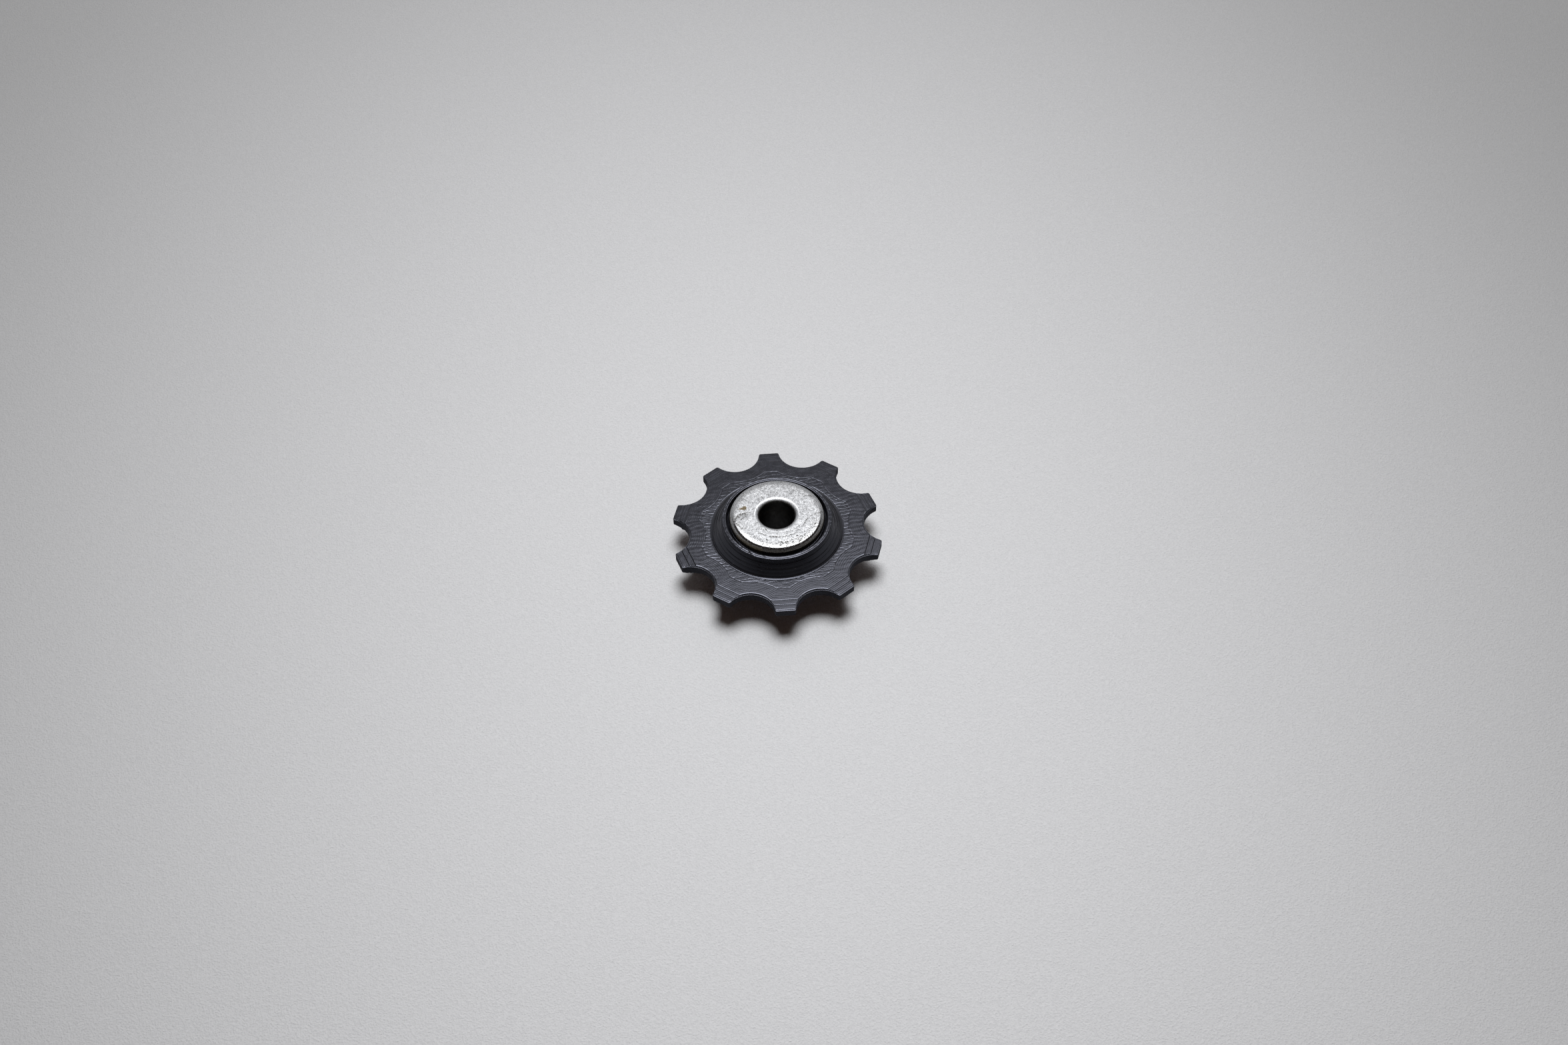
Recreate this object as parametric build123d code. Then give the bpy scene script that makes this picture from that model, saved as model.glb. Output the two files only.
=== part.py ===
from build123d import *
from math import atan2, cos, hypot, pi, sin, tan, radians
import os

# Jockey wheel of a bicycle derailleur: a printed plastic wheel that turns on a steel bush between two
# drawn steel dust caps. The axle runs along Z, the origin lies on it in the middle plane of the teeth,
# and the gap between two teeth opens towards +X. All lengths are in millimetres.

# Teeth, for a half-inch chain
TOOTH_COUNT = 10
CHAIN_PITCH = 12.7
ROLLER_DIAMETER = 7.75
TOOTH_HEIGHT = 3.35
TIP_WIDTH = 3.8
TIP_CORNER_RADIUS = 0.35

# Printed steps that thin each tooth towards its tip, on both faces
DISC_THICKNESS = 2.0
LAYER_HEIGHT = 0.1
STEP_COUNT = 3
TIP_LAND = 0.27
STEP_TREAD = 1.08

# Axle bush
BOLT_HOLE_DIAMETER = 6.9
BUSH_WALL = 1.55
BUSH_CHAMFER = 0.3
RUNNING_CLEARANCE = 0.05

# Dust caps
OVERALL_WIDTH = 10.5
CAP_DIAMETER = 18.1
CAP_SHEET = 0.8
CAP_DEPTH = 2.2
CAP_SHOULDER_RADIUS = 0.9
HOLE_LIP = 0.5

# Hub of the wheel, and the groove in which each cap's skirt runs
SIDE_FLOAT = 0.2
GROOVE_SIDE_GAP = 0.6
GROOVE_FLOOR_GAP = 0.4
RIM_WALL = 0.8
RIM_SETBACK = 1.07
NECK_HEIGHT = 1.15
FLANK_ANGLE = 45.0

# Tooth outline: each gap is one arc through the roller's seat and the corners of two tips
half_tooth_angle = pi / TOOTH_COUNT
pitch_radius = CHAIN_PITCH / 2 / sin(half_tooth_angle)
root_radius = pitch_radius - ROLLER_DIAMETER / 2
tip_radius = root_radius + TOOTH_HEIGHT
corner_radius = hypot(tip_radius, TIP_WIDTH / 2)
corner_angle = half_tooth_angle - atan2(TIP_WIDTH / 2, tip_radius)
corner_reach = corner_radius * cos(corner_angle)
gap_centre_radius = (corner_radius**2 - root_radius**2) / (2 * (corner_reach - root_radius))
gap_radius = gap_centre_radius - root_radius

# Radii from the axle outwards
bolt_hole_radius = BOLT_HOLE_DIAMETER / 2
bush_radius = bolt_hole_radius + BUSH_WALL
wheel_bore_radius = bush_radius + RUNNING_CLEARANCE
cap_radius = CAP_DIAMETER / 2
skirt_inner_radius = cap_radius - CAP_SHEET
groove_inner_radius = skirt_inner_radius - GROOVE_SIDE_GAP
groove_outer_radius = cap_radius + GROOVE_SIDE_GAP
rim_radius = groove_outer_radius + RIM_WALL

# Heights above the middle plane
disc_top = DISC_THICKNESS / 2
tip_top = disc_top - STEP_COUNT * LAYER_HEIGHT
cap_face = OVERALL_WIDTH / 2
bush_end = cap_face - CAP_SHEET
hub_end = bush_end - SIDE_FLOAT
skirt_end = cap_face - CAP_DEPTH
groove_floor = skirt_end - GROOVE_FLOOR_GAP
rim_top = cap_face - RIM_SETBACK
neck_foot = rim_top - NECK_HEIGHT
flank_radius = rim_radius + (neck_foot - disc_top) / tan(radians(FLANK_ANGLE))


def turned(points):
    """Revolve a closed outline of (radius, height) points about the axle."""
    return revolve(Plane.XZ * make_face(Polyline(*points, close=True)), Axis.Z)


def both_sides(upper):
    """Join an upper half to its mirror image below the middle plane."""
    return upper + mirror(upper, about=Plane.XY)


def tooth_outline():
    """Outline of the teeth: a polygon with one flat per tip, less the round gaps, with blunted corners."""
    gaps = PolarLocations(gap_centre_radius, TOOTH_COUNT) * Circle(gap_radius)
    outline = RegularPolygon(tip_radius, TOOTH_COUNT, major_radius=False) - gaps
    return fillet(outline.vertices(), TIP_CORNER_RADIUS)


def stepped_blank():
    """Stack of flat-sided layers, each one layer thicker and further from the tips than the last."""
    blank = extrude(RegularPolygon(tip_radius, TOOTH_COUNT, major_radius=False), tip_top, both=True)
    for step in range(STEP_COUNT):
        flat_radius = tip_radius - TIP_LAND - step * STEP_TREAD
        layer = RegularPolygon(flat_radius, TOOTH_COUNT, major_radius=False)
        blank += extrude(layer, tip_top + (step + 1) * LAYER_HEIGHT, both=True)
    return blank


def toothed_disc():
    """Disc with the teeth cut through the stepped blank, so that the steps run straight across each tooth."""
    return extrude(tooth_outline(), disc_top, both=True) & stepped_blank()


def hub_half():
    """Upper half of the hub: bearing boss, groove for the cap's skirt, thin rim and sloping flank."""
    return turned(
        [
            (wheel_bore_radius, 0),
            (wheel_bore_radius, hub_end),
            (groove_inner_radius, hub_end),
            (groove_inner_radius, groove_floor),
            (groove_outer_radius, groove_floor),
            (groove_outer_radius, rim_top),
            (rim_radius, rim_top),
            (rim_radius, neck_foot),
            (flank_radius, disc_top),
            (flank_radius, 0),
        ]
    )


def pulley_wheel():
    """Printed wheel in one piece: toothed disc, hub on both sides and the bore for the bush."""
    bore = Cylinder(wheel_bore_radius, OVERALL_WIDTH)
    return toothed_disc() - bore + both_sides(hub_half())


def axle_bush():
    """Plain sleeve as long as the space between the caps, with a chamfer outside at each end."""
    return both_sides(
        turned(
            [
                (bolt_hole_radius, 0),
                (bolt_hole_radius, bush_end),
                (bush_radius - BUSH_CHAMFER, bush_end),
                (bush_radius, bush_end - BUSH_CHAMFER),
                (bush_radius, 0),
            ]
        )
    )


def dust_cap():
    """Upper cap: a shallow drawn cup with a round shoulder and a bolt hole with a bevelled lip."""
    section = make_face(
        Polyline(
            (bolt_hole_radius, bush_end),
            (bolt_hole_radius, cap_face - HOLE_LIP),
            (bolt_hole_radius + HOLE_LIP, cap_face),
            (cap_radius, cap_face),
            (cap_radius, skirt_end),
            (skirt_inner_radius, skirt_end),
            (skirt_inner_radius, bush_end),
            close=True,
        )
    )
    shoulder = section.vertices().sort_by_distance((cap_radius, cap_face))[0]
    return revolve(Plane.XZ * fillet(shoulder, CAP_SHOULDER_RADIUS), Axis.Z)


upper_cap = dust_cap()
nodes = {
    "pulley_wheel": pulley_wheel(),
    "axle_bush": axle_bush(),
    "dust_cap_upper": upper_cap,
    "dust_cap_lower": mirror(upper_cap, about=Plane.XY),
}

os.makedirs("parts", exist_ok=True)
for name, shape in nodes.items():
    export_step(shape, f"parts/{name}.step")
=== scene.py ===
import logging
import math
from dataclasses import dataclass, field
from enum import Enum

import bpy
import numpy as np
from mathutils import Matrix, Vector


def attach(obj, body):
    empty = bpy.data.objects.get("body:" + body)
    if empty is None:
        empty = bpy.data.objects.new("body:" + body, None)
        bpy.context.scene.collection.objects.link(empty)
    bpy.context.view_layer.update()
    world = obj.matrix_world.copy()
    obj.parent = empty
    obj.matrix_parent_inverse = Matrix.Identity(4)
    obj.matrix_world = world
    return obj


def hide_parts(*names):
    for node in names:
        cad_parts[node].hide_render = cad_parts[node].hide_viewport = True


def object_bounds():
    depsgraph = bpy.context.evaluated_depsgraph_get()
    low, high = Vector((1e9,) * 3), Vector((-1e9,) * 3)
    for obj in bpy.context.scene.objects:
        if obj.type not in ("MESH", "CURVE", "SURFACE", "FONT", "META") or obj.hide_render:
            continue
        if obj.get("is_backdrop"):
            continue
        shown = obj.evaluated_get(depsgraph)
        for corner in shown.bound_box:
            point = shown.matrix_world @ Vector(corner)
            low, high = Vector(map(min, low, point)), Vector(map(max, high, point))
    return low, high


# Jockey wheel of a bicycle derailleur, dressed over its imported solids. Lengths are in millimetres unless a
# name says otherwise, in the frame of the solids: axle along Z, middle plane of the teeth at height zero.

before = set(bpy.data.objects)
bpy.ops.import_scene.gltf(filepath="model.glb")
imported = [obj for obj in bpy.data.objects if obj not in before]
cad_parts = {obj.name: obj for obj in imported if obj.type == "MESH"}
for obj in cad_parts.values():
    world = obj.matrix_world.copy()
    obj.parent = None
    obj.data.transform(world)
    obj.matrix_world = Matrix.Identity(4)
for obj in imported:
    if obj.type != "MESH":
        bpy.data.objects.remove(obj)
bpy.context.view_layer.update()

LOG = logging.getLogger("jockey_wheel")
MM = 0.001
PER_METRE = 1000.0

# Linear colour, the two ends of a ramp, rows of two numbers, and a socket that nodes are linked by
Colour = tuple[float, float, float]
Band = tuple[float, float]
Pairs = tuple[tuple[float, float], ...]
Socket = bpy.types.NodeSocket

# Ramp over the whole range of a share
FULL: Band = (0.0, 1.0)


class Side(Enum):
    """The two faces of the wheel, named by where they look."""

    UPPER = 1
    LOWER = -1


class Mask(Enum):
    """Marks kept on the points of a cap, which its finish reads."""

    PIT = "pit"
    # Real stains and cracks, and painted shade in the hole's throat and over the shoulder and skirt
    STAIN_AND_SHADE = "stain"
    RUST = "rust"
    LIP = "lip"
    GRIT = "grit"


class RandomField:
    """Smooth random height made of seeded plane waves, with a spread of about one."""

    def __init__(
        self, seed: int, wavelength: float, axes: int = 2, waves: int = 32, spread: float = 0.35
    ) -> None:
        """Draw the waves.

        Args:
            seed: number that fixes the draw.
            wavelength: typical length of a wave.
            axes: number of coordinates of the points.
            waves: number of waves that are added up.
            spread: how much their lengths vary, as a share of the typical one.
        """
        rng = np.random.default_rng(seed)
        facing = rng.normal(size=(waves, axes))
        facing /= np.linalg.norm(facing, axis=1, keepdims=True)
        lengths = wavelength * np.exp(rng.normal(0.0, spread, size=(waves, 1)))
        self.numbers = facing * (2 * math.pi / lengths)
        self.phases = rng.uniform(0, 2 * math.pi, waves)
        self.share = math.sqrt(2 / waves)

    def at(self, points: np.ndarray) -> np.ndarray:
        """Height of the field at each of the points."""
        return np.cos(points @ self.numbers.T + self.phases).sum(1) * self.share


def smooth(value: np.ndarray, low: float, high: float) -> np.ndarray:
    """Soft ramp from 0 at low to 1 at high.

    Args:
        value: numbers to put on the ramp.
        low: number at the foot of the ramp.
        high: number at its top, which may be the smaller one.

    Returns:
        The ramp's height for each number.
    """
    t = np.clip((value - low) / (high - low), 0.0, 1.0)
    return t * t * (3 - 2 * t)


def moved(band: Band, start: float) -> Band:
    """The same ramp, counted from another start."""
    return start + band[0], start + band[1]


def bearing_deg(flat: np.ndarray) -> np.ndarray:
    """Angle of each place round the axle, counted from X."""
    return np.degrees(np.arctan2(flat[:, 1], flat[:, 0]))


def raised(outline: np.ndarray, height: np.ndarray | float) -> np.ndarray:
    """Put a flat ring of points at a height, or at one height for each point."""
    return np.column_stack([outline, np.broadcast_to(height, len(outline))])


def placed(name: str, data: bpy.types.ID) -> bpy.types.Object:
    """Put a mesh, camera or lamp into the scene.

    Args:
        name: name of the new object.
        data: the mesh, camera or lamp.

    Returns:
        The new object.
    """
    thing = bpy.data.objects.new(name, data)
    bpy.context.scene.collection.objects.link(thing)
    return thing


class RingStack:
    """Closed skin made of rings round the axle, each joined to the next and the last to the first."""

    def __init__(self) -> None:
        """Start with no rings."""
        self.rings: list[np.ndarray] = []

    def add(self, *rings: np.ndarray) -> None:
        """Add rings in order: outwards above, down the outside, inwards below and up the inside."""
        self.rings.extend(rings)

    @staticmethod
    def strip(inner: np.ndarray, outer: np.ndarray) -> list[list[int]]:
        """Faces between two rings, where one may have twice as many points as the other.

        Args:
            inner: point numbers of the first ring.
            outer: point numbers of the next ring.

        Returns:
            The faces as lists of point numbers, turned so that they look out of the skin.
        """
        a, b = inner, outer
        if len(a) == len(b):
            return np.column_stack([a, b, np.roll(b, -1), np.roll(a, -1)]).tolist()
        if len(b) == 2 * len(a):
            even, odd, after = b[0::2], b[1::2], np.roll(b[0::2], -1)
            turns = ([a, even, odd], [a, odd, np.roll(a, -1)], [np.roll(a, -1), odd, after])
        else:
            even, odd, after = a[0::2], a[1::2], np.roll(a[0::2], -1)
            turns = ([even, b, odd], [odd, b, np.roll(b, -1)], [odd, np.roll(b, -1), after])
        return [face for turn in turns for face in np.column_stack(turn).tolist()]

    def points(self) -> np.ndarray:
        """All points of the skin, ring after ring."""
        return np.concatenate(self.rings)

    def build(self, name: str, sharp_deg: float = 50.0) -> bpy.types.Object:
        """Make the skin a mesh object in the scene.

        Args:
            name: name of the new object and its mesh.
            sharp_deg: edges that bend by more than this stay sharp.

        Returns:
            The new object.
        """
        sizes = [len(ring) for ring in self.rings]
        starts = np.cumsum([0] + sizes)
        numbers = [np.arange(start, start + size) for start, size in zip(starts, sizes)]
        faces: list[list[int]] = []
        for index, ring in enumerate(numbers):
            faces += self.strip(ring, numbers[(index + 1) % len(numbers)])
        mesh = bpy.data.meshes.new(name)
        mesh.from_pydata((self.points() * MM).tolist(), [], faces)
        mesh.validate()
        mesh.shade_smooth()
        mesh.set_sharp_from_angle(angle=math.radians(sharp_deg))
        return placed(name, mesh)


class NodeBoard:
    """Lays out the nodes of one material or of the world."""

    # Places of the colour sockets on the mix node, whose names repeat for each kind of data
    MIX_SHARE, MIX_UNDER, MIX_TOP, MIX_RESULT = 0, 6, 7, 2

    def __init__(self, owner: bpy.types.Material | bpy.types.World) -> None:
        """Clear the owner's nodes and keep its tree.

        Args:
            owner: the material or world that gets the nodes.
        """
        owner.use_nodes = True
        self.tree = owner.node_tree
        self.tree.nodes.clear()

    def add(self, kind: str, **settings: object) -> bpy.types.Node:
        """Add a node and set its own properties.

        Args:
            kind: Blender's name for the node, without the leading ShaderNode.
            settings: properties of the node by name.

        Returns:
            The new node.
        """
        node = self.tree.nodes.new("ShaderNode" + kind)
        for name, value in settings.items():
            setattr(node, name, value)
        return node

    def join(self, source: Socket, target: Socket) -> None:
        """Link an output to an input."""
        self.tree.links.new(source, target)

    def millimetres(
        self, stretch: tuple[float, float, float] = (1, 1, 1), shift: tuple[float, float, float] = (0, 0, 0)
    ) -> Socket:
        """Position on the piece in millimetres, stretched along the axes and then shifted.

        Args:
            stretch: factor along each axis.
            shift: distance along each axis.

        Returns:
            The position.
        """
        place = self.add("TexCoord")
        scale = self.add("Mapping")
        scale.inputs["Scale"].default_value = [PER_METRE * s for s in stretch]
        scale.inputs["Location"].default_value = shift
        self.join(place.outputs["Object"], scale.inputs["Vector"])
        return scale.outputs["Vector"]

    def length(self, place: Socket) -> Socket:
        """Distance of a position from the origin.

        Args:
            place: the position.

        Returns:
            The distance.
        """
        node = self.add("VectorMath", operation="LENGTH")
        self.join(place, node.inputs[0])
        return node.outputs["Value"]

    def noise(self, place: Socket, size: float, detail: float = 3.0) -> Socket:
        """Noise with features of about the given size.

        Args:
            place: position in millimetres.
            size: size of the features in millimetres.
            detail: how many finer octaves are added.

        Returns:
            The noise, from 0 to 1 and mostly near a half.
        """
        node = self.add("TexNoise")
        node.inputs["Scale"].default_value = 1.0 / size
        node.inputs["Detail"].default_value = detail
        self.join(place, node.inputs["Vector"])
        return node.outputs["Fac"]

    def ramp(self, value: Socket, band: Band, start: float = 0.0, end: float = 1.0) -> Socket:
        """Turn a number into another range, held at both ends.

        Args:
            value: the number that comes in.
            band: inputs that give start and end.
            start: result at the first of them.
            end: result at the second.

        Returns:
            The number in its new range.
        """
        node = self.add("MapRange")
        for name, number in zip(("From Min", "From Max", "To Min", "To Max"), (*band, start, end)):
            node.inputs[name].default_value = number
        self.join(value, node.inputs["Value"])
        return node.outputs["Result"]

    def colours(self, value: Socket, band: Band, start: Colour, end: Colour) -> Socket:
        """Turn a number into a colour between two others.

        Args:
            value: the number that comes in.
            band: inputs from 0 to 1 that give start and end.
            start: linear colour at the first of them.
            end: linear colour at the second.

        Returns:
            The colour.
        """
        node = self.add("ValToRGB")
        for element, place, colour in zip(node.color_ramp.elements, band, (start, end)):
            element.position = place
            element.color = (*colour, 1.0)
        self.join(value, node.inputs["Fac"])
        return node.outputs["Color"]

    def over(self, share: Socket, under: Socket, top: Socket) -> Socket:
        """Lay one colour over another by a share that varies over the surface.

        Args:
            share: 0 where the lower colour shows and 1 where the upper one does.
            under: lower colour.
            top: upper colour.

        Returns:
            The mixed colour.
        """
        node = self.add("Mix", data_type="RGBA")
        self.join(share, node.inputs[self.MIX_SHARE])
        self.join(under, node.inputs[self.MIX_UNDER])
        self.join(top, node.inputs[self.MIX_TOP])
        return node.outputs[self.MIX_RESULT]

    def combine(self, first: Socket, second: Socket, mode: str = "ADD") -> Socket:
        """Combine two numbers that vary over the surface, held between 0 and 1.

        Args:
            first: one number.
            second: the other number.
            mode: Blender's name for the operation.

        Returns:
            The result.
        """
        node = self.add("Math", operation=mode, use_clamp=True)
        self.join(first, node.inputs[0])
        self.join(second, node.inputs[1])
        return node.outputs[0]

    def level(self) -> Socket:
        """How level the surface lies.

        Returns:
            1 on a flat face and 0 on an upright wall.
        """
        place, split = self.add("TexCoord"), self.add("SeparateXYZ")
        size = self.add("Math", operation="ABSOLUTE")
        self.join(place.outputs["Normal"], split.inputs["Vector"])
        self.join(split.outputs["Z"], size.inputs[0])
        return size.outputs[0]

    def mark(self, mask: Mask) -> Socket:
        """One of the marks kept on the points of the piece."""
        return self.add("Attribute", attribute_name=mask.value).outputs["Fac"]

    def bump(self, height: Socket, depth: float) -> Socket:
        """Turn a height into a bent normal.

        Args:
            height: number from 0 to 1.
            depth: height in millimetres that 1 stands for.

        Returns:
            The bent normal.
        """
        node = self.add("Bump")
        node.inputs["Distance"].default_value = depth * MM
        self.join(height, node.inputs["Height"])
        return node.outputs["Normal"]

    def seen(self) -> Socket:
        """Tell the rays that show a thing, also in a mirror or glass, from those that only light others.

        Returns:
            1 for a ray that shows the thing and 0 for the rest.
        """
        rays = self.add("LightPath")
        plain = self.combine(rays.outputs["Is Camera Ray"], rays.outputs["Is Glossy Ray"])
        return self.combine(plain, rays.outputs["Is Transmission Ray"])

    def show(self, shader: Socket) -> None:
        """Join a shader to the material's output."""
        self.join(shader, self.add("OutputMaterial").inputs["Surface"])

    def surface(self) -> bpy.types.Node:
        """Add the main shader and join it to the material's output.

        Returns:
            The shader.
        """
        shader = self.add("BsdfPrincipled")
        self.show(shader.outputs["BSDF"])
        return shader


def shaded(colour: Colour, share: float) -> Colour:
    """The same colour at a share of its brightness."""
    return tuple(share * part for part in colour)


@dataclass(frozen=True)
class PrintedPlastic:
    """Black printed plastic with a satin sheen, a little dust and a fine skin; its ribbed walls are duller
    and darkened by painted shade.
    """

    dark: Colour = (0.0090, 0.0092, 0.0112)
    light: Colour = (0.0155, 0.0159, 0.0195)
    patch_size: float = 3.0
    patch_band: Band = (0.3, 0.7)
    dust: Colour = (0.150, 0.140, 0.135)
    dust_fade: float = 0.6
    dust_fade_band: Band = (0.35, 0.65)
    dust_size: float = 0.22
    dust_band: Band = (0.735, 0.80)
    sheen_tint: Colour = (0.79, 0.825, 1.0)
    sheen_level: float = 0.61
    smoothest: float = 0.10
    roughest: float = 0.17
    gloss_size: float = 1.1
    gloss_band: Band = (0.32, 0.68)
    # Share of its brightness that the plastic keeps on upright walls, as painted shade
    wall_painted_shade: float = 0.35
    wall_roughness: float = 0.85
    wall_band: Band = (0.20, 0.50)
    skin_size: float = 0.13
    skin_depth: float = 0.0028

    def material(self) -> bpy.types.Material:
        """Make the material.

        Returns:
            The finished material.
        """
        made = bpy.data.materials.new("printed_plastic")
        board = NodeBoard(made)
        place = board.millimetres()
        shader = board.surface()
        patches = board.noise(place, self.patch_size, detail=4.0)
        wall = board.ramp(board.level(), self.wall_band, 1.0, 0.0)
        face_colour = board.colours(patches, self.patch_band, self.dark, self.light)
        # Upright walls get a darker copy of the plastic's colour: painted shade
        painted_shade_wall_colour = board.colours(patches, self.patch_band, shaded(self.dark, self.wall_painted_shade), self.dark)
        base = board.over(wall, face_colour, painted_shade_wall_colour)
        specks = board.ramp(board.noise(place, self.dust_size, detail=1.0), self.dust_band)
        grey = board.colours(patches, self.dust_fade_band, self.dust, shaded(self.dust, self.dust_fade))
        board.join(board.over(specks, base, grey), shader.inputs["Base Color"])
        gloss = board.noise(place, self.gloss_size, detail=5.0)
        rough = board.ramp(gloss, self.gloss_band, self.smoothest, self.roughest)
        ribbed = board.ramp(wall, FULL, 0.0, self.wall_roughness)
        board.join(board.combine(rough, ribbed, "MAXIMUM"), shader.inputs["Roughness"])
        board.join(board.bump(board.noise(place, self.skin_size), self.skin_depth), shader.inputs["Normal"])
        shader.inputs["Specular Tint"].default_value = (*self.sheen_tint, 1.0)
        shader.inputs["Specular IOR Level"].default_value = self.sheen_level
        return made


@dataclass(frozen=True)
class WornSteel:
    """Plated steel sheet, dulled and mottled, with black pits, stains, spots of rust and painted shade laid
    like the stains.
    """

    bright: Colour = (0.590, 0.602, 0.624)
    dull: Colour = (0.342, 0.349, 0.362)
    pit: Colour = (0.035, 0.032, 0.030)
    # Colour of real stains, also used for painted shade in the throat and at the edge
    stain: Colour = (0.16, 0.155, 0.145)
    rust_dark: Colour = (0.075, 0.050, 0.024)
    rust_light: Colour = (0.22, 0.172, 0.088)
    grain_size: float = 0.20
    grain_band: Band = (0.36, 0.56)
    cloud_size: float = 1.8
    cloud_band: Band = (0.35, 0.65)
    cloud_strength: float = 0.6
    cloud_shade: float = 0.92
    cloud_grain_band: Band = (0.30, 0.62)
    speck_size: float = 0.16
    speck_band: Band = (0.60, 0.69)
    speck_strength: float = 0.8
    speck_tone_band: Band = (0.4, 0.7)
    grit_share: float = 0.125
    stain_and_shade_band: Band = (0.35, 0.65)
    pit_band: Band = (0.4, 0.7)
    rust_size: float = 0.25
    rust_band: Band = (0.38, 0.62)
    gloss_size: float = 0.45
    gloss_band: Band = (0.35, 0.65)
    smoothest: float = 0.13
    roughest: float = 0.22
    lip_roughness: float = 0.28
    dirt_roughness: float = 0.4
    dirt_metal: float = 0.15
    bump_size: float = 0.14
    bump_depth: float = 0.0011

    def bare(self, board: NodeBoard, place: Socket, grain: Socket) -> Socket:
        """Colour of the sheet without its larger marks.

        Args:
            board: the material's nodes.
            place: position in millimetres.
            grain: the noise of the metal's grain.

        Returns:
            The colour.
        """
        cloud = board.noise(place, self.cloud_size, detail=4.0)
        metal = board.over(
            board.ramp(cloud, self.cloud_band, 0.0, self.cloud_strength),
            board.colours(grain, self.grain_band, self.dull, self.bright),
            board.colours(grain, self.cloud_grain_band, shaded(self.dull, self.cloud_shade), self.bright),
        )
        grit = board.ramp(board.mark(Mask.GRIT), FULL, 0.0, self.grit_share)
        dots = board.combine(board.noise(place, self.speck_size, detail=2.0), grit)
        specks = board.ramp(dots, self.speck_band, 0.0, self.speck_strength)
        return board.over(specks, metal, board.colours(cloud, self.speck_tone_band, self.stain, self.pit))

    def material(self) -> bpy.types.Material:
        """Make the material.

        Returns:
            The finished material.
        """
        made = bpy.data.materials.new("worn_steel")
        board = NodeBoard(made)
        place = board.millimetres()
        shader = board.surface()
        grain = board.noise(place, self.grain_size, detail=5.0)
        metal = self.bare(board, place, grain)
        # Where this mark lies: real stains and cracks, and painted shade in the throat and at the edge
        stain = board.colours(grain, self.stain_and_shade_band, self.pit, self.stain)
        stained_and_shaded = board.over(board.mark(Mask.STAIN_AND_SHADE), metal, stain)
        pit = board.colours(grain, self.pit_band, self.pit, self.stain)
        pitted = board.over(board.mark(Mask.PIT), stained_and_shaded, pit)
        flakes = board.noise(place, self.rust_size, detail=4.0)
        rust = board.colours(flakes, self.rust_band, self.rust_dark, self.rust_light)
        board.join(board.over(board.mark(Mask.RUST), pitted, rust), shader.inputs["Base Color"])
        dirt = board.combine(board.mark(Mask.RUST), board.mark(Mask.PIT), "MAXIMUM")
        board.join(board.ramp(dirt, FULL, 1.0, self.dirt_metal), shader.inputs["Metallic"])
        gloss = board.noise(place, self.gloss_size, detail=5.0)
        rough = board.ramp(gloss, self.gloss_band, self.smoothest, self.roughest)
        rough = board.combine(rough, board.ramp(board.mark(Mask.LIP), FULL, 0.0, self.lip_roughness))
        rough = board.combine(rough, board.ramp(dirt, FULL, 0.0, self.dirt_roughness))
        board.join(rough, shader.inputs["Roughness"])
        fine = board.bump(board.noise(place, self.bump_size, detail=4.0), self.bump_depth)
        board.join(fine, shader.inputs["Normal"])
        return made


@dataclass(frozen=True)
class GreasySteel:
    """Turned steel, dark with old grease, with a few specks of rust."""

    bare: Colour = (0.070, 0.066, 0.062)
    greasy: Colour = (0.009, 0.008, 0.007)
    film_size: float = 2.2
    film_band: Band = (0.45, 0.70)
    film_metal: float = 0.1
    bare_metal: float = 0.9
    rust: Colour = (0.30, 0.11, 0.045)
    rust_fade: float = 0.5
    rust_fade_band: Band = (0.3, 0.7)
    rust_size: float = 0.55
    rust_band: Band = (0.70, 0.74)
    gloss_size: float = 0.8
    gloss_band: Band = (0.35, 0.65)
    smoothest: float = 0.38
    roughest: float = 0.6
    turning_stretch: tuple[float, float, float] = (0.05, 0.05, 1.0)
    turning_pitch: float = 0.18
    turning_depth: float = 0.012

    def material(self) -> bpy.types.Material:
        """Make the material.

        Returns:
            The finished material.
        """
        made = bpy.data.materials.new("greasy_steel")
        board = NodeBoard(made)
        place = board.millimetres()
        shader = board.surface()
        film = board.noise(place, self.film_size, detail=5.0)
        base = board.colours(film, self.film_band, self.greasy, self.bare)
        specks = board.ramp(board.noise(place, self.rust_size, detail=2.0), self.rust_band)
        rust = board.colours(film, self.rust_fade_band, self.rust, shaded(self.rust, self.rust_fade))
        board.join(board.over(specks, base, rust), shader.inputs["Base Color"])
        metal = board.ramp(film, self.film_band, self.film_metal, self.bare_metal)
        board.join(metal, shader.inputs["Metallic"])
        gloss = board.noise(place, self.gloss_size, detail=4.0)
        rough = board.ramp(gloss, self.gloss_band, self.smoothest, self.roughest)
        board.join(rough, shader.inputs["Roughness"])
        tool = board.noise(board.millimetres(self.turning_stretch), self.turning_pitch, detail=1.0)
        board.join(board.bump(tool, self.turning_depth), shader.inputs["Normal"])
        return made


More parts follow.
